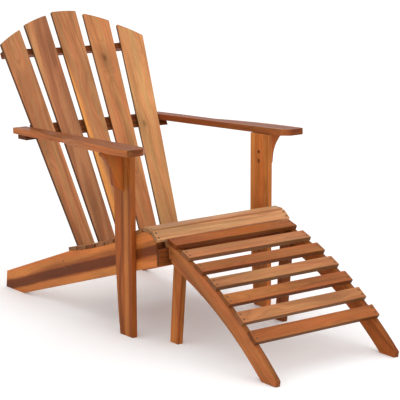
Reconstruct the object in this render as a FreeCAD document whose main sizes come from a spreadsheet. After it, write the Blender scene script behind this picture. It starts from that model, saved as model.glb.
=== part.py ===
"""Adirondack chair with a free-standing footrest, board by board, in millimetres.

The chair faces -Y and stands on z = 0. "right" and "left" are those of the person who sits
in it, so the right side is at -X. Outlines are written in the chair's own frame, whose Y
starts at the front faces of the front legs; seatFrame moves it so that the origin of the
whole set is the middle of its footprint. The footrest is drawn straight in front of the
chair and then turned a little about its own middle line, the way it was pushed up to it.
"""
import FreeCAD
import Part
import math
import os
import re
import Sketcher

from FreeCAD import Placement, Rotation, Vector

SIZES = [
    # The whole set
    ("middleY", 76.87, "front faces of the front legs to the middle of the set"),
    ("boardThick", 18, "legs, side rails and arm brackets"),
    ("edgeRound", 1.5, "rounding of the long edges"),
    # Front legs
    ("legOuterX", 275, "middle of the chair to a leg's outer face"),
    ("legTopWidth", 86, "front leg, upper part"),
    ("legFootWidth", 65.4, "front leg, at the floor"),
    ("legShoulderZ", 300, "where the leg's rear edge starts to taper"),
    ("legTaperRadius", 2800, "the rear edge's long curve"),
    # Side rails, which are also the rear legs
    ("railOuterX", 257, "middle of the chair to a side rail's outer face"),
    ("railFrontY", -103, "front end"),
    ("railFrontLow", 238, "lower front corner"),
    ("railFrontHigh", 294.1, "upper front corner"),
    ("crestRadius", 55, "round nose under the knees"),
    ("dishFrontY", -28, "front end of the seat's hollow"),
    ("dishFrontZ", 327.4, "front end of the seat's hollow"),
    ("dishRadius", 2100, "seat's hollow"),
    ("dishRearY", 370, "rear end of the seat's hollow"),
    ("dishRearZ", 199, "rear end of the seat's hollow"),
    ("heelTopY", 765.6, "rear end, upper corner"),
    ("heelTopZ", 57.2, "rear end, upper corner"),
    ("heelRearY", 773, "rear end, at the floor"),
    ("heelFrontY", 659.4, "where the rail meets the floor"),
    # Seat slats and front apron
    ("slatThick", 12, "seat slats"),
    ("seatSlatWidth", 45.2, "slats in the hollow"),
    ("seatSlatCount", 8, "slats in the hollow"),
    ("noseSlatWidth", 36, "two slats round the nose"),
    ("noseSlatTilt", 40, "front slat, from level"),
    ("kneeSlatTilt", 3, "slat behind it, from level"),
    ("apronThick", 11, "front apron"),
    ("apronLow", 240, "front apron, lower edge"),
    ("apronHigh", 290, "front apron, upper edge"),
    # Back
    ("recline", 27, "back, from upright, degrees"),
    ("backY", 301.24, "where the back's front plane meets the floor"),
    ("backCurve", 2170, "radius of the hollow across the back"),
    ("backThick", 10, "back slats"),
    ("fanStep", 2.77, "angle between one back slat and the next"),
    ("fanDepth", 1528, "below the floor line: where the slats' middle lines meet"),
    ("fanHalf", 0.0191, "half a slat's width over its distance from that point"),
    ("backFoot", 150, "up the slope: lower ends of the slats"),
    ("backTopRound", 600, "round top of a slat"),
    ("backCorner", 4, "rounded corners of a slat's top"),
    ("topMiddle", 1041, "up the slope: top corners of the middle slat"),
    ("topInnerNext", 1030, "second slat's inner top corner"),
    ("topOuterNext", 1002.5, "second slat's outer top corner"),
    ("topInnerSide", 987.5, "side slat's inner top corner"),
    ("topOuterSide", 946, "side slat's outer top corner"),
    ("backGap", 1.2, "between a slat's rear face and the hollow rails"),
    # Rails behind the back
    ("headRailHalf", 270, "half the length of the upper back rail"),
    ("headRailLow", 894, "up the slope: lower face"),
    ("headRailTall", 21, "height"),
    ("headRailRear", 31, "its rear face, behind the back's front plane"),
    ("lowRailLow", 148, "up the slope: lower face of the lower back rail"),
    ("lowRailTall", 54, "height"),
    ("lowRailRear", 32, "its rear face, behind the back's front plane"),
    ("hollowReach", 60, "how far forward a rail's blank starts before it is hollowed"),
    ("armRailHalf", 285, "half the length of the rail that carries the arms"),
    ("armSeatX", 240, "where its lowered ends begin"),
    ("armRailLow", 534, "lower face"),
    ("armRailHigh", 575, "upper face"),
    ("armRailRearY", 618, "rear face"),
    ("armRailFrontY", 545, "front of its blank"),
    # Arms and their brackets
    ("armUnderZ", 565.9, "underside, above the legs' front faces"),
    ("armFall", 0.023, "fall towards the rear, over the length"),
    ("armThick", 20, "arms"),
    ("armFrontY", -70, "front end"),
    ("armCut", 23, "cut across the inner front corner"),
    ("armRearY", 640, "rear end"),
    ("armSlip", 20, "how much further forward the right arm was fixed"),
    ("armRearInner", 253, "inner edge at the rear end"),
    ("armFrontInner", 270, "inner edge at the front"),
    ("armNarrowX", 308, "outer edge, rear half"),
    ("armTaperY", 530, "where the outer edge starts to taper towards the rear end"),
    ("armRearOuter", 302, "outer edge at the rear end"),
    ("armWideX", 348, "outer edge, front"),
    ("armBulge", 1333, "outer edge, front half"),
    ("armWaist", 80, "inward curve where the two halves meet"),
    ("armCornerRadius", 12, "outer front corner"),
    ("bracketMidY", 45, "middle plane of the brackets"),
    ("bracketReachX", 350, "outer end under the arm"),
    ("bracketFootZ", 442, "lower end on the leg"),
    ("bracketHollow", 100, "hollow outer edge"),
    ("bracketToe", 16, "round toe"),
    # Footrest, in its own frame
    ("restShiftX", 5.4, "footrest's middle line, to the left of the chair's"),
    ("restShiftY", -6.6, "pulled forward of the chair"),
    ("restYaw", -1.79, "its turn on the floor, degrees"),
    ("restOuterX", 228.7, "its middle line to a rail's outer face"),
    ("restThick", 18.3, "its rails"),
    ("restLegThick", 18.9, "its legs"),
    ("restSlatWidth", 41, "its slats"),
    ("restSlatThick", 14.5, "its slats"),
    ("restFrontY", -613, "toe at the floor"),
    ("restHeelY", -553, "rear of the toe at the floor"),
    ("restRearY", -117.4, "rear end, upper corner"),
    ("restRearZ", 305, "rear end, upper corner"),
    ("restToeZ", 16, "upper corner of the toe"),
    ("restUpperRound", 1250, "upper edge of its rails"),
    ("restLowerRound", 1123, "lower edge of its rails"),
    ("restSlatCount", 7, "its slats"),
    ("restSlatStart", 17.5, "rear end to the first slat's middle, along the upper edge"),
    ("restSlatPitch", 70.3, "from one slat to the next, along the upper edge"),
    # Fasteners
    ("recessRadius", 3.6, "recess for a screw head"),
    ("recessDepth", 1.4, "recess for a screw head"),
    ("pocketRadius", 6.2, "deeper pockets for the screws between legs and brackets"),
    ("pocketDepth", 5, "these pockets"),
    ("boreRadius", 2, "clearance hole for a shank"),
    ("headRadius", 3.3, "screw head"),
    ("headHeight", 1, "screw head"),
    ("shankRadius", 1.8, "screw shank"),
    ("screwSpread", 9, "screw to the middle line of a slat"),
    ("longReach", 36, "seat, bracket and lower rail screws"),
    ("shortReach", 22, "footrest slat screws"),
    ("legReach", 31, "screws between side rails and legs, and between the arms and their rail"),
    ("armScrewY", 594, "middle between the two screws at an arm's rear end"),
    ("armScrewSpread", 6, "these screws to their middle"),
    ("slatCover", 4, "wood left in front of the screws that hold the back slats"),
    ("backScrewSpread", 15, "these screws to the middle line of a slat"),
    ("dowelRadius", 4, "dowels between brackets and arms"),
    ("dowelLength", 34, "dowels between brackets and arms"),
    ("dowelInset", 20, "dowels: from the leg, and from the outer end of the bracket"),
]

doc = FreeCAD.newDocument("AdirondackChair")
sheet = doc.addObject("Spreadsheet::Sheet", "Sizes")
for row, (alias, value, note) in enumerate(SIZES, start=1):
    sheet.set("A%d" % row, alias)
    sheet.set("B%d" % row, str(value))
    sheet.set("C%d" % row, note)
    sheet.setAlias("B%d" % row, alias)
doc.recompute()

PARTS = []


def bound(text):
    """The text of a formula with every size's name pointing into the sheet."""
    return re.sub(r"[A-Za-z]\w*", r"Sizes.\g<0>", text)


def size(text):
    """The value of a formula of sheet names."""
    return float(sheet.evalExpression(bound(text)))


def arcCentre(start, end, radius, side):
    """Centre of the arc from start to end; side +1 puts it on the left of the way."""
    chord = end - start
    lift = math.sqrt(radius ** 2 - chord.Length ** 2 / 4)
    left = Vector(-chord.y, chord.x, 0).normalize()
    return (start + end) / 2 + left * lift * side


def outline(sketch, corners, arcs=None, flip=False):
    """Closed outline through corners written "x, y"; flip mirrors it in the sketch's y axis.

    arcs maps a corner's number to (radius, side) for the edge that leaves that corner.
    """
    arcs = arcs or {}
    turn = -1 if flip else 1
    pairs = [[part.strip() for part in corner.split(",")] for corner in corners]
    if flip:
        pairs = [["-(%s)" % across, up] for across, up in pairs]
    points = [Vector(size(across), size(up), 0) for across, up in pairs]
    edges = []
    for number, start in enumerate(points):
        end = points[(number + 1) % len(points)]
        if number in arcs:
            radius, side = arcs[number]
            side = side * turn
            centre = arcCentre(start, end, size(radius), side)
            circle = Part.Circle(centre, Vector(0, 0, 1), size(radius))
            ends = [start, end] if side > 0 else [end, start]
            angles = [math.atan2(p.y - centre.y, p.x - centre.x) for p in ends]
            geometry = sketch.addGeometry(Part.ArcOfCircle(circle, angles[0], angles[1]))
            limit = sketch.addConstraint(Sketcher.Constraint("Radius", geometry, size(radius)))
            sketch.setExpression("Constraints[%d]" % limit, bound(radius))
            edges.append((geometry, 1, 2) if side > 0 else (geometry, 2, 1))
        else:
            edges.append((sketch.addGeometry(Part.LineSegment(start, end)), 1, 2))
    for number, (geometry, first, last) in enumerate(edges):
        following = edges[(number + 1) % len(edges)]
        sketch.addConstraint(Sketcher.Constraint("Coincident", geometry, last, *following[:2]))
        point = points[number]
        for kind, value, formula in (("DistanceX", point.x, pairs[number][0]),
                                     ("DistanceY", point.y, pairs[number][1])):
            tie = sketch.addConstraint(Sketcher.Constraint(kind, -1, 1, geometry, first, value))
            sketch.setExpression("Constraints[%d]" % tie, bound(formula))


def circles(sketch, centres, radius):
    """Equal circles at centres written "x, y"."""
    for centre in centres:
        across, up = [part.strip() for part in centre.split(",")]
        place = Vector(size(across), size(up), 0)
        geometry = sketch.addGeometry(Part.Circle(place, Vector(0, 0, 1), size(radius)))
        for kind, value, formula in (("DistanceX", place.x, across), ("DistanceY", place.y, up)):
            tie = sketch.addConstraint(Sketcher.Constraint(kind, -1, 1, geometry, 3, value))
            sketch.setExpression("Constraints[%d]" % tie, bound(formula))
        limit = sketch.addConstraint(Sketcher.Constraint("Radius", geometry, size(radius)))
        sketch.setExpression("Constraints[%d]" % limit, bound(radius))


def sketchOn(body, plane, name, lift="0"):
    """A sketch on one of the body's own origin planes, moved along its normal by lift."""
    sketch = body.newObject("Sketcher::SketchObject", name)
    support = [item for item in body.Origin.OriginFeatures if item.Role == plane][0]
    sketch.AttachmentSupport = [(support, "")]
    sketch.MapMode = "FlatFace"
    sketch.AttachmentOffset = Placement(Vector(0, 0, size(lift)), Rotation())
    sketch.setExpression("AttachmentOffset.Base.z", bound(lift))
    return sketch


def board(label, plane, corners, thick, place, arcs=None, flip=False):
    """A sawn board: an outline on one of the origin planes, as thick as the formula says."""
    body = doc.addObject("PartDesign::Body", label)
    body.Label = label
    sketch = sketchOn(body, plane, label + "_outline")
    outline(sketch, corners, arcs, flip)
    pad = body.newObject("PartDesign::Pad", label + "_board")
    pad.Profile = sketch
    pad.setExpression("Length", bound(thick))
    body.Placement = place
    doc.recompute()
    PARTS.append(body)
    return body


def easeEdges(body, along, kind="Fillet"):
    """Rounds or chamfers the edges at right angles to the direction given."""
    base = body.Tip
    names = []
    for number, edge in enumerate(base.Shape.Edges, start=1):
        middle = edge.tangentAt((edge.FirstParameter + edge.LastParameter) / 2)
        if abs(middle.dot(along)) < 0.5:
            names.append("Edge%d" % number)
    eased = body.newObject("PartDesign::" + kind, body.Label + "_eased")
    eased.Base = (base, names)
    eased.setExpression("Radius" if kind == "Fillet" else "Size", bound("edgeRound"))
    doc.recompute()


def roundCorners(body, along, radius, beyond):
    """Rounds the outline's corners whose edges run along the thickness and lie beyond y."""
    base = body.Tip
    names = []
    for number, edge in enumerate(base.Shape.Edges, start=1):
        start, end = edge.Vertexes[0].Point, edge.Vertexes[-1].Point
        if abs((end - start).dot(along)) > 0.99 * edge.Length and start.y > beyond:
            names.append("Edge%d" % number)
    rounded = body.newObject("PartDesign::Fillet", body.Label + "_corners")
    rounded.Base = (base, names)
    rounded.setExpression("Radius", bound(radius))
    doc.recompute()


def screwHoles(body, plane, centres, lift, thick, outward=True, recess="recess"):
    """Clearance holes with recessed heads in the face that lies lift above the plane.

    recess is the beginning of the names of the recess's two sizes.
    """
    before = body.Shape.Volume
    for name, radius, depth in (("recesses", recess + "Radius", recess + "Depth"),
                                ("bores", "boreRadius", thick)):
        sketch = sketchOn(body, plane, "%s_%s" % (body.Label, name), lift)
        circles(sketch, centres, radius)
        pocket = body.newObject("PartDesign::Pocket", "%s_%s_cut" % (body.Label, name))
        pocket.Profile = sketch
        pocket.Reversed = not outward
        pocket.setExpression("Length", bound(depth))
        doc.recompute()
        if not body.Shape.Volume < before:
            raise ValueError("%s: %s cut nothing" % (body.Label, name))
        before = body.Shape.Volume


def inChair(place):
    """From the chair's own frame to the frame of the set."""
    return Placement(Vector(0, -size("middleY"), 0), Rotation()) * place


def inFootrest(place):
    """From the footrest's own frame to the frame of the set."""
    turn = Rotation(Vector(0, 0, 1), size("restYaw"))
    return inChair(Placement(Vector(size("restShiftX"), size("restShiftY"), 0), turn) * place)


def onBack(place):
    """From the back's frame (x across, y up the slope, z forward) to the frame of the set."""
    lean = Placement(Vector(0, size("backY"), 0), Rotation(Vector(1, 0, 0), 90 - size("recline")))
    return inChair(lean * place)


def shifted(across, along, up):
    return Placement(Vector(across, along, up), Rotation())


# --- Side rails and front legs ---------------------------------------------------------------

RAIL = ["railFrontY, railFrontLow", "heelFrontY, 0", "heelRearY, 0", "heelTopY, heelTopZ",
        "dishRearY, dishRearZ", "dishFrontY, dishFrontZ", "railFrontY, railFrontHigh"]
RAIL_END_SCREWS = ["404, 159", "394, 137"]
RAIL_LEG_SCREWS = ["22, 272", "64, 228"]
LEG = ["0, 0", "legFootWidth, 0", "legTopWidth, legShoulderZ",
       "legTopWidth, armUnderZ - armFall * legTopWidth", "0, armUnderZ"]
BRACKET_SCREWS = ["bracketMidY, 506", "bracketMidY, 477"]


def sidePlaces(outer, thick):
    """(side's name, its direction, lower x of a board with its outer face at outer)."""
    return (("right", -1, -size(outer)), ("left", 1, size(outer) - size(thick)))


def sideFrame():
    for side, way, start in sidePlaces("railOuterX", "boardThick"):
        rail = board("side_rail_" + side, "YZ_Plane", RAIL, "boardThick", inChair(shifted(start, 0, 0)),
                     arcs={4: ("dishRadius", -1), 5: ("crestRadius", 1)})
        easeEdges(rail, Vector(1, 0, 0), "Chamfer")
        outer = "0" if way < 0 else "boardThick"
        screwHoles(rail, "YZ_Plane", RAIL_END_SCREWS, outer, "boardThick", way > 0)
    for side, way, start in sidePlaces("legOuterX", "boardThick"):
        leg = board("front_leg_" + side, "YZ_Plane", LEG, "boardThick", inChair(shifted(start, 0, 0)),
                    arcs={1: ("legTaperRadius", 1)})
        easeEdges(leg, Vector(1, 0, 0))
        inner = "boardThick" if way < 0 else "0"
        screwHoles(leg, "YZ_Plane", BRACKET_SCREWS, inner, "boardThick", way < 0, "pocket")


# --- Arms and their brackets -----------------------------------------------------------------

ARM = ["armRearInner, armRearY", "armFrontInner, armFrontY + armCut", "armFrontInner + armCut, armFrontY",
       "armWideX - armCornerRadius, armFrontY", "armWideX, armFrontY + armCornerRadius", "armWideX, 0",
       "armNarrowX + 2.4, 320.5", "armNarrowX, 340", "armNarrowX, armTaperY", "armRearOuter, armRearY"]
BRACKET = ["legOuterX, bracketFootZ", "298, 458", "309, 470", "310.5, 484", "bracketReachX, 558",
           "bracketReachX, armUnderZ - armFall * (bracketMidY + boardThick / 2)",
           "legOuterX, armUnderZ - armFall * (bracketMidY + boardThick / 2)"]


def arms():
    fall = Rotation(Vector(1, 0, 0), -math.degrees(math.atan(size("armFall"))))
    for side, flip, slip in (("right", True, size("armSlip")), ("left", False, 0)):
        arm = board("armrest_" + side, "XY_Plane", ARM, "armThick",
                    inChair(Placement(Vector(0, -slip, size("armUnderZ + armFall * %s" % slip)), fall)),
                    arcs={3: ("armCornerRadius", 1), 5: ("armBulge", 1), 6: ("armWaist", -1)}, flip=flip)
        easeEdges(arm, Vector(0, 0, 1))
        bracket = board("arm_bracket_" + side, "XZ_Plane", BRACKET, "boardThick",
                        inChair(shifted(0, size("bracketMidY + boardThick / 2"), 0)),
                        arcs={1: ("bracketToe", 1), 3: ("bracketHollow", -1)}, flip=flip)
        easeEdges(bracket, Vector(0, 1, 0))


# --- Slats -----------------------------------------------------------------------------------

def slat(label, half, width, thick, place, screwX):
    """A slat that lies on its underside: x along it, y across it, screwed down at both ends."""
    body = board(label, "XY_Plane",
                 ["-(%s), -(%s) / 2" % (half, width), "%s, -(%s) / 2" % (half, width),
                  "%s, (%s) / 2" % (half, width), "-(%s), (%s) / 2" % (half, width)], thick, place)
    easeEdges(body, Vector(0, 0, 1))
    screwHoles(body, "XY_Plane", slatScrews(screwX), thick, thick)


def slatScrews(screwX):
    return ["%s, %s" % (across, along) for across in (screwX, "-(%s)" % screwX)
            for along in ("screwSpread", "-screwSpread")]


SEAT_SCREW_X = "railOuterX - boardThick / 2"


def slopedPlace(along, up, tilt):
    """On the middle plane, turned about the x axis by tilt degrees."""
    return Placement(Vector(0, along, up), Rotation(Vector(1, 0, 0), tilt))


def seatSlatPlaces():
    """(frame of the underside on the side rails, name of the width) of each slat, front to rear."""
    front = Vector(size("dishFrontY"), size("dishFrontZ"), 0)
    rear = Vector(size("dishRearY"), size("dishRearZ"), 0)
    nose = Vector(size("railFrontY"), size("railFrontHigh"), 0)
    crest = arcCentre(front, nose, size("crestRadius"), 1)
    places = []
    for tilt in (size("noseSlatTilt"), size("kneeSlatTilt")):
        angle = math.radians(tilt)
        touch = crest + Vector(-math.sin(angle), math.cos(angle), 0) * size("crestRadius")
        places.append((slopedPlace(touch.x, touch.y, tilt), "noseSlatWidth"))
    dish = arcCentre(rear, front, size("dishRadius"), -1)
    spokes = [math.degrees(math.atan2(point.x - dish.x, dish.y - point.y)) for point in (front, rear)]
    count = int(size("seatSlatCount"))
    half = math.degrees(size("seatSlatWidth") / 2 / size("dishRadius"))
    first = spokes[0] + half
    last = spokes[1] - half
    for number in range(count):
        tilt = first + (last - first) * number / (count - 1)
        angle = math.radians(tilt)
        chord = math.cos(math.radians(half)) * size("dishRadius")
        touch = dish + Vector(math.sin(angle), -math.cos(angle), 0) * chord
        places.append((slopedPlace(touch.x, touch.y, tilt), "seatSlatWidth"))
    return places


def seat():
    for number, (place, width) in enumerate(seatSlatPlaces(), start=1):
        slat("seat_slat_%d" % number, "railOuterX", width, "slatThick", inChair(place), SEAT_SCREW_X)
    apron = board("front_apron", "XZ_Plane",
                  ["-railOuterX, apronLow", "railOuterX, apronLow", "railOuterX, apronHigh",
                   "-railOuterX, apronHigh"], "apronThick", inChair(shifted(0, size("railFrontY"), 0)))
    easeEdges(apron, Vector(0, 1, 0))


# --- Back ------------------------------------------------------------------------------------

TOPS = {0: ("topMiddle", "topMiddle"), 1: ("topInnerNext", "topOuterNext"),
        2: ("topInnerSide", "topOuterSide")}


def backSlatPlace(step):
    """Frame of a back slat: y up its middle line from the fan's centre, z forward."""
    angle = math.radians(step * size("fanStep"))
    middle = size("headRailLow + lowRailLow") / 2
    across = math.tan(angle) * (size("fanDepth") + middle)
    forward = across ** 2 / (2 * size("backCurve"))
    up = Vector(math.sin(angle), math.cos(angle), math.sin(angle) * across / size("backCurve")).normalize()
    facing = Vector(-across / size("backCurve"), 0, 1)
    facing = (facing - up * facing.dot(up)).normalize()
    reach = (size("fanDepth") + middle) / math.cos(angle)
    start = Vector(across, middle, forward) - up * reach
    return Placement(start, Rotation(up.cross(facing), up, facing, "ZXY"))


def back():
    for number, step in enumerate(range(-2, 3), start=1):
        inner, outer = TOPS[abs(step)]
        left, right = (outer, inner) if step < 0 else (inner, outer)
        foot = "backFoot + fanDepth"
        corners = ["-fanHalf * (%s), %s" % (foot, foot), "fanHalf * (%s), %s" % (foot, foot),
                   "fanHalf * (%s + fanDepth), %s + fanDepth" % (right, right),
                   "-fanHalf * (%s + fanDepth), %s + fanDepth" % (left, left)]
        lowered = backSlatPlace(step) * shifted(0, 0, -size("backThick"))
        body = board("back_slat_%d" % number, "XY_Plane", corners, "backThick", onBack(lowered),
                     arcs={2: ("backTopRound", 1)})
        roundCorners(body, Vector(0, 0, 1), "backCorner", size("fanDepth + headRailLow"))
        easeEdges(body, Vector(0, 0, 1))


def box(label, sizes, place):
    blank = doc.addObject("Part::Box", label)
    for name, formula in zip(("Length", "Width", "Height"), sizes):
        blank.setExpression(name, bound(formula))
    blank.Placement = place
    return blank


def hollowRails():
    """The three rails behind the back, hollowed along the curve of the slats' rear faces."""
    curve = doc.addObject("Part::Cylinder", "back_curve")
    curve.setExpression("Radius", bound("backCurve + backThick + backGap"))
    curve.setExpression("Height", bound("topMiddle"))
    curve.Placement = onBack(Placement(Vector(0, 0, size("backCurve")), Rotation(Vector(1, 0, 0), -90)))
    for label, half, low, tall, rear in (
            ("upper_back_rail", "headRailHalf", "headRailLow", "headRailTall", "headRailRear"),
            ("lower_back_rail", "railOuterX - boardThick", "lowRailLow", "lowRailTall", "lowRailRear")):
        place = onBack(shifted(-size(half), size(low), -size(rear)))
        blank = box(label + "_blank", ("2 * (%s)" % half, tall, "hollowReach"), place)
        rail = doc.addObject("Part::Cut", label)
        rail.Base = blank
        rail.Tool = curve
        PARTS.append(rail)

    start = inChair(shifted(-size("armRailHalf"), size("armRailFrontY"), size("armRailLow")))
    deep, tall = "armRailRearY - armRailFrontY", "armRailHigh - armRailLow"
    blank = box("arm_rail_blank", ("2 * armRailHalf", deep, tall), start)
    hollow = doc.addObject("Part::Cut", "arm_rail_hollow")
    hollow.Base = blank
    hollow.Tool = curve
    seats = []
    for side, begin in (("right", -size("armRailHalf")), ("left", size("armSeatX"))):
        under = size("armUnderZ - armFall * armRailRearY")
        seats.append(box("arm_seat_" + side, ("armRailHalf - armSeatX", deep, tall),
                         inChair(shifted(begin, size("armRailFrontY"), under))))
    both = doc.addObject("Part::MultiFuse", "arm_seats")
    both.Shapes = seats
    rail = doc.addObject("Part::Cut", "arm_rail")
    rail.Base = hollow
    rail.Tool = both
    PARTS.append(rail)


# --- Footrest --------------------------------------------------------------------------------

REST_RAIL = ["restFrontY, 0", "restHeelY, 0", "-202, 217", "-142, 243.6", "-122, 264",
             "restRearY, restRearZ", "restFrontY - 3, restToeZ"]
REST_LEG = ["-98, 0", "-123.8, 296", "-166.8, 282", "-137, 0"]
REST_LEG_SCREWS = ["-135, 279", "-133.6, 260"]
REST_SCREW_X = "restOuterX - restThick / 2"


def restSlatPlaces():
    """Frames of the footrest slats' undersides on the rails' upper edge, rear to front."""
    rear = Vector(size("restRearY"), size("restRearZ"), 0)
    toe = Vector(size("restFrontY - 3"), size("restToeZ"), 0)
    radius = size("restUpperRound")
    middle = arcCentre(rear, toe, radius, 1)
    begin = math.atan2(middle.x - rear.x, rear.y - middle.y)
    places = []
    for number in range(int(size("restSlatCount"))):
        angle = begin + (size("restSlatStart") + number * size("restSlatPitch")) / radius
        touch = middle + Vector(-math.sin(angle), math.cos(angle), 0) * radius
        places.append(slopedPlace(touch.x, touch.y, math.degrees(angle)))
    return places


def footrest():
    for side, way, start in sidePlaces("restOuterX", "restThick"):
        rail = board("footrest_rail_" + side, "YZ_Plane", REST_RAIL, "restThick",
                     inFootrest(shifted(start, 0, 0)),
                     arcs={1: ("restLowerRound", -1), 5: ("restUpperRound", 1)})
        easeEdges(rail, Vector(1, 0, 0), "Chamfer")
        outer = "0" if way < 0 else "restThick"
        screwHoles(rail, "YZ_Plane", REST_LEG_SCREWS, outer, "restThick", way > 0)
    for side, way, start in sidePlaces("restOuterX - restThick", "restLegThick"):
        leg = board("footrest_leg_" + side, "YZ_Plane", REST_LEG, "restLegThick",
                    inFootrest(shifted(start, 0, 0)))
        easeEdges(leg, Vector(1, 0, 0))
    for number, place in enumerate(restSlatPlaces(), start=1):
        slat("footrest_slat_%d" % number, "restOuterX", "restSlatWidth", "restSlatThick", inFootrest(place),
             REST_SCREW_X)


# --- Screws and dowels -----------------------------------------------------------------------

UP = Rotation(Vector(1, 0, 0), 180)
FORWARD = Rotation(Vector(1, 0, 0), -90)
SIDEWAYS = {"left": Rotation(Vector(0, 1, 0), -90), "right": Rotation(Vector(0, 1, 0), 90)}


def screw(reach):
    """A screw driven down from the origin, where the underside of its head is."""
    head = Part.makeCylinder(size("headRadius"), size("headHeight"))
    shank = Part.makeCylinder(size("shankRadius"), reach, Vector(0, 0, -reach))
    return head.fuse(shank).removeSplitter()


def fasteners(label, pieces):
    """One node for a set of separate fasteners: pairs of a shape and its frame."""
    group = doc.addObject("Part::Feature", label)
    group.Shape = Part.makeCompound([shape.transformed(place.toMatrix()) for shape, place in pieces])
    PARTS.append(group)


def point(text):
    return [size(part) for part in text.split(",")]


def slatScrewPlaces(places, screwX, thick):
    """Frames of the screws that hold the slats whose undersides have the frames given."""
    up = size(thick) - size("recessDepth")
    return [place * shifted(across, along, up) for place in places
            for across, along in [point(text) for text in slatScrews(screwX)]]


def sideScrewPlaces(texts, planeX, side):
    """Frames of screws driven sideways towards the side named, from a plane at planeX."""
    return [Placement(Vector(planeX, along, up), SIDEWAYS[side]) for along, up in map(point, texts)]


def backScrews():
    """Screws from behind through the three rails into every back slat."""
    pieces = []
    spread = size("backScrewSpread")
    armMiddle = size("armRailLow + armRailHigh") / 2
    lean = math.radians(size("recline"))
    for step in range(-2, 3):
        fan = math.tan(math.radians(step * size("fanStep")))
        for low, tall, rear in (("headRailLow", "headRailTall", "headRailRear"),
                                ("lowRailLow", "lowRailTall", "lowRailRear")):
            slope = size(low) + size(tall) / 2
            for across in (fan * (size("fanDepth") + slope) + way * spread for way in (-1, 1)):
                reach = size(rear) + across ** 2 / (2 * size("backCurve")) - size("slatCover")
                pieces.append((screw(reach), onBack(Placement(Vector(across, slope, -size(rear)), UP))))
        slope = armMiddle / math.cos(lean)
        for across in (fan * (size("fanDepth") + slope) + way * spread for way in (-1, 1)):
            forward = (across ** 2 / (2 * size("backCurve")) - size("slatCover")) / math.cos(lean)
            face = size("backY") + armMiddle * math.tan(lean) - forward
            start = Vector(across, size("armRailRearY"), armMiddle)
            pieces.append((screw(size("armRailRearY") - face), inChair(Placement(start, FORWARD))))
    fasteners("back_screws", pieces)


def allFasteners():
    longScrew = screw(size("longReach"))
    shortScrew = screw(size("shortReach"))
    legScrew = screw(size("legReach"))
    recess = size("recessDepth")
    seatPlaces = slatScrewPlaces([place for place, width in seatSlatPlaces()], SEAT_SCREW_X, "slatThick")
    fasteners("seat_screws", [(longScrew, inChair(place)) for place in seatPlaces])
    restPlaces = slatScrewPlaces(restSlatPlaces(), REST_SCREW_X, "restSlatThick")
    fasteners("footrest_slat_screws", [(shortScrew, inFootrest(place)) for place in restPlaces])

    brackets, legs, rests, ends, rails, dowels = [], [], [], [], [], []
    for side, other, way in (("right", "left", -1), ("left", "right", 1)):
        legInner = way * size("legOuterX - boardThick + pocketDepth")
        brackets += sideScrewPlaces(BRACKET_SCREWS, legInner, side)
        railInner = way * size("railOuterX - boardThick")
        legs += sideScrewPlaces(RAIL_LEG_SCREWS, railInner, side)
        rests += sideScrewPlaces(REST_LEG_SCREWS, way * (size("restOuterX") - recess), other)
        ends += sideScrewPlaces(RAIL_END_SCREWS, way * (size("railOuterX") - recess), other)
        seatX = way * size("armRearInner + armRailHalf") / 2
        for along in (size("armScrewY - armScrewSpread"), size("armScrewY + armScrewSpread")):
            rails.append(Placement(Vector(seatX, along, size("armRailLow")), UP))
        for across in (size("legOuterX + dowelInset"), size("bracketReachX - dowelInset")):
            middle = size("armUnderZ - armFall * bracketMidY")
            dowels.append(shifted(way * across, size("bracketMidY"), middle))
    fasteners("bracket_screws", [(longScrew, inChair(place)) for place in brackets])
    fasteners("leg_screws", [(legScrew, inChair(place)) for place in legs])
    fasteners("footrest_leg_screws", [(legScrew, inFootrest(place)) for place in rests])
    fasteners("lower_rail_screws", [(longScrew, inChair(place)) for place in ends])
    fasteners("arm_screws", [(legScrew, inChair(place)) for place in rails])
    length = size("dowelLength")
    dowel = Part.makeCylinder(size("dowelRadius"), length, Vector(0, 0, -length / 2))
    fasteners("arm_dowels", [(dowel, inChair(place)) for place in dowels])
    backScrews()


sideFrame()
arms()
seat()
back()
hollowRails()
footrest()
allFasteners()
doc.recompute()

for item in doc.Objects:
    if "Invalid" in item.State or "Error" in item.State:
        raise ValueError("%s: %s" % (item.Label, item.State))
for part in PARTS:
    if part.Shape.isNull() or not part.Shape.isValid():
        raise ValueError(part.Label + " has no valid shape")

os.makedirs("parts", exist_ok=True)
for part in PARTS:
    part.Shape.exportStep("parts/%s.step" % part.Label)
print(len(PARTS), "sub-parts")
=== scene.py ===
"""Looks of the adirondack chair and its footrest: oiled acacia boards, bronzed screws, studio light.

Every CAD node keeps its mesh and gets a procedural material. Each board has its own frame,
worked out from its mesh, so that the grain runs along it and end grain shows at its ends.
"""
import math

import bpy
import numpy as np
from mathutils import Matrix, Vector

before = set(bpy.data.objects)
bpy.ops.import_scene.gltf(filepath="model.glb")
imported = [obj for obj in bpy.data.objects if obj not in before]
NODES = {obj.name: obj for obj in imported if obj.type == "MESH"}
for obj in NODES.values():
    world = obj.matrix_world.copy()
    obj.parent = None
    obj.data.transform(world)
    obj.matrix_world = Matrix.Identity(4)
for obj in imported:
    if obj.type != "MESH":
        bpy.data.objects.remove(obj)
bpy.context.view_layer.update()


# --- Camera ----------------------------------------------------------------------------------

CAMERA_PLACE = (-2.6148, -3.39717, 1.2233)
CAMERA_LENS = 126.45
CAMERA_TURN, CAMERA_RISE, CAMERA_ROLL = -38.05, 11.17, -0.21


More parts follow.
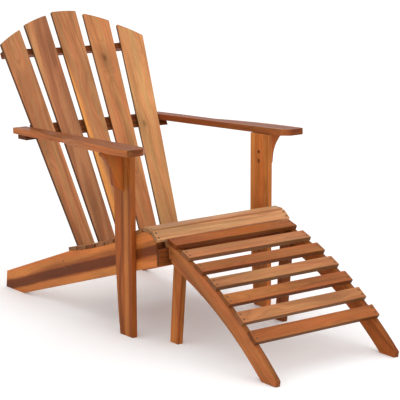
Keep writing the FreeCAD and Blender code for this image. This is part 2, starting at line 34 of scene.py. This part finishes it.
def camera():
    """In front of the chair, to the sitter's right and a little above, looking back at it."""
    turn, rise, roll = (math.radians(angle) for angle in (CAMERA_TURN, CAMERA_RISE, CAMERA_ROLL))
    back = Vector((math.sin(turn) * math.cos(rise), -math.cos(turn) * math.cos(rise), math.sin(rise)))
    data = bpy.data.cameras.new("camera")
    data.sensor_width = 36
    data.lens = CAMERA_LENS
    data.clip_end = 50
    cam = bpy.data.objects.new("camera", data)
    right = Vector((0, 0, 1)).cross(back).normalized()
    up = back.cross(right)
    aim = Matrix((right, up, back)).transposed().to_4x4()
    cam.matrix_world = Matrix.Translation(CAMERA_PLACE) @ aim @ Matrix.Rotation(roll, 4, "Z")
    bpy.context.scene.collection.objects.link(cam)
    bpy.context.scene.camera = cam


# --- Node tree helpers -----------------------------------------------------------------------

class Tree:
    """A few short calls for building a node tree."""

    def __init__(self, tree):
        self.tree = tree

    def node(self, kind, **settings):
        made = self.tree.nodes.new(kind)
        for name, value in settings.items():
            setattr(made, name, value)
        return made

    def feed(self, socket, value):
        """Links a socket to value, or sets value on it."""
        if isinstance(value, bpy.types.NodeSocket):
            self.tree.links.new(value, socket)
        else:
            socket.default_value = value

    def math(self, operation, *values):
        made = self.node("ShaderNodeMath", operation=operation)
        for socket, value in zip(made.inputs, values):
            self.feed(socket, value)
        return made.outputs[0]

    def vector(self, operation, *values):
        made = self.node("ShaderNodeVectorMath", operation=operation)
        for socket, value in zip(made.inputs, values):
            self.feed(socket, value)
        return made.outputs["Value" if operation in ("LENGTH", "DOT_PRODUCT") else "Vector"]

    def scaled(self, vector, scale):
        return self.vector("MULTIPLY", vector, scale)

    def noise(self, vector, scale, detail=2.0, rough=0.5):
        made = self.node("ShaderNodeTexNoise")
        self.feed(made.inputs["Vector"], vector)
        self.feed(made.inputs["Scale"], scale)
        self.feed(made.inputs["Detail"], detail)
        self.feed(made.inputs["Roughness"], rough)
        return made.outputs["Fac"]

    def noiseAlong(self, value, scale, detail=2.0, rough=0.5):
        """Noise of one number, such as the distance from the pith."""
        made = self.node("ShaderNodeTexNoise", noise_dimensions="1D")
        self.feed(made.inputs["W"], value)
        self.feed(made.inputs["Scale"], scale)
        self.feed(made.inputs["Detail"], detail)
        self.feed(made.inputs["Roughness"], rough)
        return made.outputs["Fac"]

    def step(self, value, low, high, bottom=0.0, top=1.0):
        """Smooth ramp of value from bottom at low to top at high."""
        made = self.node("ShaderNodeMapRange", interpolation_type="SMOOTHSTEP")
        for socket, given in zip(made.inputs, (value, low, high, bottom, top)):
            self.feed(socket, given)
        return made.outputs[0]

    def mix(self, amount, first, second, kind="MIX"):
        made = self.node("ShaderNodeMix", data_type="RGBA", blend_type=kind)
        self.feed(made.inputs["Factor"], amount)
        self.feed(made.inputs[6], first)
        self.feed(made.inputs[7], second)
        return made.outputs[2]


def linear(red, green, blue):
    """Scene-linear colour from 0-255 screen values."""
    def channel(value):
        value = value / 255
        return value / 12.92 if value <= 0.04045 else ((value + 0.055) / 1.055) ** 2.4
    return (channel(red), channel(green), channel(blue), 1.0)


# --- Oiled acacia ----------------------------------------------------------------------------

# One input carries the painted shade on the sawn edges, which turns to painted light below zero
GROUP_INPUTS = (
    ("Point", "NodeSocketVector"), ("Facing", "NodeSocketVector"), ("Seed", "NodeSocketVector"),
    ("Pith", "NodeSocketVector"), ("Knot", "NodeSocketVector"), ("Knot size", "NodeSocketFloat"),
    ("Light", "NodeSocketColor"), ("Dark", "NodeSocketColor"), ("Heart", "NodeSocketFloat"),
    ("Edge", "NodeSocketFloat"), ("Streak", "NodeSocketColor"), ("Streak middle", "NodeSocketFloat"),
    ("Streak half", "NodeSocketFloat"), ("Streak amount", "NodeSocketFloat"))
GROUP_OUTPUTS = (
    ("Color", "NodeSocketColor"), ("Roughness", "NodeSocketFloat"), ("Height", "NodeSocketFloat"))

# How finely each noise varies, per metre along the board, across it and through it
FINENESS = {
    "sway": (2.2, 6.0, 6.0), "wobble": (9.0, 30.0, 30.0), "fibre": (14.0, 700.0, 700.0),
    "pores": (45.0, 1500.0, 1500.0), "cloud": (4.0, 14.0, 14.0), "hue": (2.5, 45.0, 45.0),
    "line": (1.6, 120.0, 120.0)}
BAND_FINENESS, RING_FINENESS = 55.0, 420.0
# Metres by which the two slow noises and a knot shift the rings
SWAY_SHIFT, WOBBLE_SHIFT, KNOT_SHIFT = 0.055, 0.006, 0.012
# A knot is longer along the board and through it than across, and its halo is wider still
KNOT_SQUEEZE = (0.55, 1.0, 0.6)
HALO_SIZE = 3.2
# Shares of the light that are lost in each of these
PORE_LOSS, KNOT_LOSS, HALO_LOSS, END_LOSS = 0.24, 0.74, 0.22, 0.45
# How strongly the fine rings and the thin dark lines take on the dark colour
RING_AMOUNT, LINE_AMOUNT = 0.34, 0.6
RED_TINT, OLIVE_TINT = (1.05, 0.89, 0.79, 1.0), (0.95, 1.02, 0.89, 1.0)


def acaciaGroup():
    """Colour, roughness and height of oiled acacia from a point in the board's own frame.

    Along is x, across is y, through is z. The rings are circles round a pith that lies
    along the board at Pith, and they are drawn wavy by slow noise. Streak is one broad band
    of another colour along the board.
    """
    group = bpy.data.node_groups.new("oiled acacia", "ShaderNodeTree")
    for name, kind in GROUP_INPUTS:
        group.interface.new_socket(name, in_out="INPUT", socket_type=kind)
    for name, kind in GROUP_OUTPUTS:
        group.interface.new_socket(name, in_out="OUTPUT", socket_type=kind)
    t = Tree(group)
    given = t.node("NodeGroupInput").outputs
    result = t.node("NodeGroupOutput").inputs
    moved = t.vector("ADD", given["Point"], given["Seed"])

    # A knot pushes the rings aside and darkens its middle
    away = t.scaled(t.vector("SUBTRACT", given["Point"], given["Knot"]), KNOT_SQUEEZE)
    reach = t.vector("LENGTH", away)
    knot = t.step(reach, 0.0, given["Knot size"], 1.0, 0.0)
    halo = t.step(reach, 0.0, t.math("MULTIPLY", given["Knot size"], HALO_SIZE), 1.0, 0.0)

    # Rings round the pith
    sway = t.noise(t.scaled(moved, FINENESS["sway"]), 1.0, 2.0)
    wobble = t.noise(t.scaled(moved, FINENESS["wobble"]), 1.0, 2.0)
    fromPith = t.vector("SUBTRACT", given["Point"], given["Pith"])
    radius = t.vector("LENGTH", t.scaled(fromPith, (0.0, 1.0, 1.0)))
    for source, shift in ((sway, SWAY_SHIFT), (wobble, WOBBLE_SHIFT), (halo, KNOT_SHIFT)):
        radius = t.math("ADD", radius, t.math("MULTIPLY", source, shift))
    radius = t.math("ADD", radius, t.vector("DOT_PRODUCT", given["Seed"], (1.0, 1.0, 1.0)))
    bands = t.noiseAlong(radius, BAND_FINENESS, 2.0, 0.55)
    rings = t.noiseAlong(radius, RING_FINENESS, 2.0, 0.6)

    # Fibres, pores and slow changes of tone, all drawn out along the grain
    fibre = t.noise(t.scaled(moved, FINENESS["fibre"]), 1.0, 3.0, 0.6)
    pores = t.noise(t.scaled(moved, FINENESS["pores"]), 1.0, 1.0)
    pore = t.step(pores, 0.62, 0.74)
    cloud = t.noise(t.scaled(moved, FINENESS["cloud"]), 1.0, 3.0)
    hue = t.noise(t.scaled(moved, FINENESS["hue"]), 1.0, 2.0)
    line = t.step(t.noise(t.scaled(moved, FINENESS["line"]), 1.0, 2.0), 0.56, 0.72)

    heart = t.math("MULTIPLY", t.step(bands, 0.42, 0.68), given["Heart"])
    tone = t.mix(heart, given["Light"], given["Dark"])
    tone = t.mix(t.math("MULTIPLY", t.step(rings, 0.35, 0.75), RING_AMOUNT), tone, given["Dark"])
    tone = t.mix(t.math("MULTIPLY", line, LINE_AMOUNT), tone, given["Dark"])
    tint = t.mix(t.step(hue, 0.3, 0.7), RED_TINT, OLIVE_TINT)
    tone = t.mix(1.0, tone, tint, "MULTIPLY")

    # The broad streak, with a wavy outline
    apart = t.node("ShaderNodeSeparateXYZ")
    t.feed(apart.inputs[0], given["Point"])
    wave = t.math("MULTIPLY", t.math("SUBTRACT", sway, 0.5), given["Streak half"])
    beside = t.math("ADD", t.math("SUBTRACT", apart.outputs[1], given["Streak middle"]), wave)
    share = t.math("DIVIDE", t.math("ABSOLUTE", beside), given["Streak half"])
    inside = t.step(share, 0.55, 1.15, 1.0, 0.0)
    tone = t.mix(t.math("MULTIPLY", inside, given["Streak amount"]), tone, given["Streak"])

    patchy = t.step(cloud, 0.25, 0.75, 0.80, 1.18)
    shade = t.math("MULTIPLY", patchy, t.step(fibre, 0.25, 0.8, 0.84, 1.14))

    # End grain drinks more oil and comes out darker; on the sawn edges the colour is painted shade, or
    # painted light where that setting is below zero
    turned = t.node("ShaderNodeSeparateXYZ")
    t.feed(turned.inputs[0], given["Facing"])
    end = t.step(t.math("ABSOLUTE", turned.outputs[0]), 0.55, 0.85)
    edge = t.math("MULTIPLY", t.step(t.math("ABSOLUTE", turned.outputs[1]), 0.6, 0.9), given["Edge"])
    # The sawn edges lose colour here as painted shade, or gain it as painted light
    losses = ((pore, PORE_LOSS), (knot, KNOT_LOSS), (halo, HALO_LOSS), (end, END_LOSS), (edge, 1.0))
    for source, loss in losses:
        shade = t.math("MULTIPLY", shade, t.math("SUBTRACT", 1.0, t.math("MULTIPLY", source, loss)))
    scale = t.node("ShaderNodeVectorMath", operation="SCALE")
    t.feed(scale.inputs[0], tone)
    t.feed(scale.inputs["Scale"], shade)
    t.feed(result["Color"], scale.outputs[0])

    rough = t.math("ADD", 0.42, t.math("MULTIPLY", pore, 0.2))
    rough = t.math("ADD", rough, t.math("MULTIPLY", t.math("SUBTRACT", cloud, 0.5), 0.16))
    rough = t.math("ADD", rough, t.math("MULTIPLY", end, 0.2))
    t.feed(result["Roughness"], rough)
    height = t.math("SUBTRACT", t.math("MULTIPLY", fibre, 0.5), t.math("MULTIPLY", pore, 0.6))
    height = t.math("ADD", height, t.math("MULTIPLY", rings, 0.5))
    t.feed(result["Height"], height)
    return group


# The broadest faces that are tried, and the cosine above which two faces count as parallel
BROADEST, PARALLEL = 12, 0.999


def forward(axis):
    """The axis, turned so that its largest component is positive."""
    return axis * np.sign(axis[np.argmax(np.abs(axis))])


def boardFrame(mesh):
    """(middle, axes, half sizes) of a board: along the grain, across it, through it."""
    spots = np.array([v.co for v in mesh.vertices])
    weights = np.array([face.area for face in mesh.polygons])
    normals = np.array([face.normal for face in mesh.polygons])
    middles = np.array([face.center for face in mesh.polygons])
    # The broad faces give the direction through the board
    best, through = 0.0, None
    for pick in np.argsort(-weights)[:BROADEST]:
        share = weights[np.abs(normals @ normals[pick]) > PARALLEL].sum()
        if share > best:
            best, through = share, normals[pick]
    through = forward(through / np.linalg.norm(through))
    flat = middles - np.average(middles, axis=0, weights=weights)
    flat = flat - np.outer(flat @ through, through)
    along = np.linalg.eigh((flat * weights[:, None]).T @ flat)[1][:, -1]
    along = along - through * (along @ through)
    along = forward(along / np.linalg.norm(along))
    axes = np.array([along, np.cross(through, along), through])
    local = spots @ axes.T
    low, high = local.min(0), local.max(0)
    return (low + high) / 2 @ axes, axes, (high - low) / 2


# Screen colours of the lighter and darker wood in a board
TONES = {
    "pale": ((198, 146, 106), (156, 107, 72)),
    "rose": ((186, 127, 88), (136, 88, 58)),
    "amber": ((190, 128, 86), (140, 90, 58)),
    "gold": ((206, 150, 104), (152, 104, 64)),
    "tan": ((168, 100, 56), (118, 66, 34)),
    "copper": ((198, 120, 62), (146, 76, 34)),
    "russet": ((166, 92, 42), (108, 52, 20)),
    "brown": ((140, 76, 38), (88, 44, 20)),
}
DARK_HEART = (92, 38, 8)
DARK_RED = (132, 64, 34)
DARK_ROSE = (140, 90, 66)
HONEY = (214, 142, 74)
NO_KNOT = (50, 0, 0.01)
NO_STREAK = (HONEY, 0, 1, 0)


def board(tone, heart=0.6, edge=0.42, knot=NO_KNOT, streak=NO_STREAK):
    """How one board looks.

    heart is how strongly the dark bands show, and edge is the painted shade on the sawn edges,
    as the share of their light that is taken away, and painted light where it is below zero.
    knot is (share of the half length, share of the half width, size in metres) and streak is
    (colour, middle and half width as shares of the half width, amount). NO_KNOT lies far beyond
    the end of any board, and NO_STREAK has no amount.
    """
    return {"tone": tone, "heart": heart, "edge": edge, "knot": knot, "streak": streak}


GRAIN_STRENGTH, GRAIN_DEPTH = 0.35, 0.0006
OIL_SHINE = 0.08
# Metres between the middle of a board and its pith, and how far apart the boards' noises start
PITH_NEAR, PITH_FAR = 0.02, 0.07
SEED_SPREAD = 5


def acaciaMaterial(node, group, number, look):
    """The wood of one board, in the board's own frame."""
    middle, axes, half = boardFrame(NODES[node].data)
    random = np.random.default_rng(number)
    material = bpy.data.materials.new("acacia " + node)
    material.use_nodes = True
    t = Tree(material.node_tree)
    shader = material.node_tree.nodes["Principled BSDF"]
    turn = Matrix([list(row) for row in axes]).transposed().to_euler()
    place = t.node("ShaderNodeTexCoord")
    point = t.node("ShaderNodeMapping", vector_type="TEXTURE")
    t.feed(point.inputs["Vector"], place.outputs["Object"])
    point.inputs["Location"].default_value = middle
    point.inputs["Rotation"].default_value = turn
    facing = t.node("ShaderNodeMapping", vector_type="TEXTURE")
    t.feed(facing.inputs["Vector"], place.outputs["Normal"])
    facing.inputs["Rotation"].default_value = turn
    light, dark = TONES[look["tone"]]
    knotAlong, knotAcross, knotSize = look["knot"]
    colour, streakMiddle, streakHalf, streakAmount = look["streak"]
    pithDepth = random.choice((-1, 1)) * random.uniform(PITH_NEAR, PITH_FAR)
    wood = t.node("ShaderNodeGroup", node_tree=group)
    # This also passes on the painted shade for the board's sawn edges
    for name, value in (
            ("Point", point.outputs[0]), ("Facing", facing.outputs[0]),
            ("Seed", random.uniform(-SEED_SPREAD, SEED_SPREAD, 3)),
            ("Pith", (0, random.uniform(-0.6, 0.6) * half[1], pithDepth)),
            ("Knot", (knotAlong * half[0], knotAcross * half[1], half[2])), ("Knot size", knotSize),
            ("Light", linear(*light)), ("Dark", linear(*dark)), ("Heart", look["heart"]),
            ("Edge", look["edge"]), ("Streak", linear(*colour)), ("Streak middle", streakMiddle * half[1]),
            ("Streak half", streakHalf * half[1]), ("Streak amount", streakAmount)):
        t.feed(wood.inputs[name], value)
    t.feed(shader.inputs["Base Color"], wood.outputs["Color"])
    t.feed(shader.inputs["Roughness"], wood.outputs["Roughness"])
    bump = t.node("ShaderNodeBump")
    bump.inputs["Strength"].default_value = GRAIN_STRENGTH
    bump.inputs["Distance"].default_value = GRAIN_DEPTH
    t.feed(bump.inputs["Height"], wood.outputs["Height"])
    t.feed(shader.inputs["Normal"], bump.outputs[0])
    shader.inputs["Specular IOR Level"].default_value = OIL_SHINE
    NODES[node].data.materials.clear()
    NODES[node].data.materials.append(material)


# The third number of each board sets the painted shade on its sawn edges, and painted light where it is
# below zero
BOARDS = {
    "side_rail_right": board("copper", 0.7, 0.3, streak=(DARK_HEART, -0.13, 0.36, 0.9)),
    "side_rail_left": board("copper", 0.8, 0.3),
    "front_leg_right": board("russet", 0.6, 0.2, streak=(HONEY, 0.35, 0.3, 0.25)),
    "front_leg_left": board("copper", 0.5, 0.2, streak=(HONEY, -0.8, 0.3, 0.6)),
    "armrest_right": board("tan", 0.7, -0.15, streak=(DARK_RED, 0.0, 0.4, 0.5)),
    "armrest_left": board("tan", 0.7, 0.1, streak=(DARK_RED, 0.0, 0.8, 0.7)),
    "arm_bracket_right": board("russet", 0.4, 0.3),
    "arm_bracket_left": board("russet", 0.3, 0.1),
    "back_slat_1": board("rose", 0.6, 0.7),
    "back_slat_2": board("rose", 0.7, 0.7, streak=(DARK_ROSE, 0.2, 0.8, 0.35)),
    "back_slat_3": board("rose", 0.5, 0.7, streak=(HONEY, -0.85, 0.4, 0.95)),
    "back_slat_4": board("amber", 0.6, 0.7, knot=(0.62, 0.1, 0.013)),
    "back_slat_5": board("gold", 0.4, 0.7, knot=(0.12, -0.3, 0.013)),
    "upper_back_rail": board("brown", 0.5),
    "arm_rail": board("brown", 0.6),
    "lower_back_rail": board("brown", 0.5),
    "front_apron": board("brown", 0.4),
    "seat_slat_1": board("pale", 0.4, 0.1),
    "seat_slat_2": board("pale", 0.4, 0.1),
    "footrest_slat_1": board("russet", 0.5, 0.6),
    "footrest_rail_right": board("tan", 0.6, 0.3),
    "footrest_rail_left": board("russet", 0.6, 0.3),
    "footrest_leg_right": board("copper", 0.9, 0.3),
    "footrest_leg_left": board("brown", 0.4, 0.3),
}
SEAT_TONES = ("tan", "amber", "rose")
REST_TONES = ("tan", "amber")


def wood():
    group = acaciaGroup()
    boards = [node for node in sorted(NODES) if "screws" not in node and "dowels" not in node]
    for number, node in enumerate(boards):
        if node in BOARDS:
            look = BOARDS[node]
        elif node.startswith("footrest"):
            # 0.6 is painted shade on the sawn edges of the other footrest boards; the seat boards keep the
            # default painted shade
            look = board(REST_TONES[number % len(REST_TONES)], 0.5, 0.6)
        else:
            look = board(SEAT_TONES[number % len(SEAT_TONES)], 0.5)
        acaciaMaterial(node, group, number, look)


def fixings():
    """Bronzed steel for the screws and pale beech for the dowels."""
    for node in (name for name in NODES if "screws" in name or "dowels" in name):
        material = bpy.data.materials.new(node)
        material.use_nodes = True
        t = Tree(material.node_tree)
        shader = material.node_tree.nodes["Principled BSDF"]
        place = t.node("ShaderNodeTexCoord").outputs["Object"]
        if "dowels" in node:
            grain = t.noise(t.scaled(place, (900.0, 900.0, 40.0)), 1.0, 2.0)
            t.feed(shader.inputs["Base Color"], t.mix(grain, linear(214, 184, 140), linear(180, 144, 100)))
            t.feed(shader.inputs["Roughness"], t.step(grain, 0.2, 0.8, 0.55, 0.7))
        else:
            wear = t.noise(place, 900.0, 3.0)
            t.feed(shader.inputs["Base Color"], t.mix(wear, linear(138, 96, 64), linear(84, 58, 40)))
            t.feed(shader.inputs["Roughness"], t.step(wear, 0.2, 0.8, 0.4, 0.65))
            shader.inputs["Metallic"].default_value = 0.7
        NODES[node].data.materials.clear()
        NODES[node].data.materials.append(material)


# --- Studio ----------------------------------------------------------------------------------

WORLD_STRENGTH = 1.08
FLOOR_REACH, FLOOR_GREY, FLOOR_ROUGH, FLOOR_GLOW = 12.0, 0.93, 0.9, 0.1
KEY_PLACE, KEY_TARGET = (0.4, -4.2, 1.9), (0, 0, 0.4)
KEY_SIZE, KEY_POWER = 2.0, 45


def floor():
    """A pale floor that glows a little, so that the shadows on it stay faint."""
    mesh = bpy.data.meshes.new("floor")
    far = FLOOR_REACH
    corners = [(-far, -far, 0), (far, -far, 0), (far, far, 0), (-far, far, 0)]
    mesh.from_pydata(corners, [], [(0, 1, 2, 3)])
    ground = bpy.data.objects.new("floor", mesh)
    bpy.context.scene.collection.objects.link(ground)
    material = bpy.data.materials.new("pale floor")
    material.use_nodes = True
    shader = material.node_tree.nodes["Principled BSDF"]
    shader.inputs["Base Color"].default_value = (FLOOR_GREY, FLOOR_GREY, FLOOR_GREY, 1)
    shader.inputs["Roughness"].default_value = FLOOR_ROUGH
    shader.inputs["Emission Color"].default_value = (1, 1, 1, 1)
    shader.inputs["Emission Strength"].default_value = FLOOR_GLOW
    mesh.materials.append(material)


def keyLight():
    """A broad, low lamp in front of the chair."""
    data = bpy.data.lights.new("key", "AREA")
    data.shape = "DISK"
    data.size = KEY_SIZE
    data.energy = KEY_POWER
    lamp = bpy.data.objects.new("key", data)
    lamp.location = KEY_PLACE
    lamp.rotation_euler = (Vector(KEY_TARGET) - Vector(KEY_PLACE)).to_track_quat("-Z", "Y").to_euler()
    bpy.context.scene.collection.objects.link(lamp)


def studio():
    floor()
    world = bpy.data.worlds.new("studio")
    world.use_nodes = True
    background = world.node_tree.nodes["Background"]
    background.inputs["Color"].default_value = (1, 1, 1, 1)
    background.inputs["Strength"].default_value = WORLD_STRENGTH
    bpy.context.scene.world = world
    keyLight()
    bpy.context.scene.view_settings.view_transform = "Standard"


camera()
wood()
fixings()
studio()
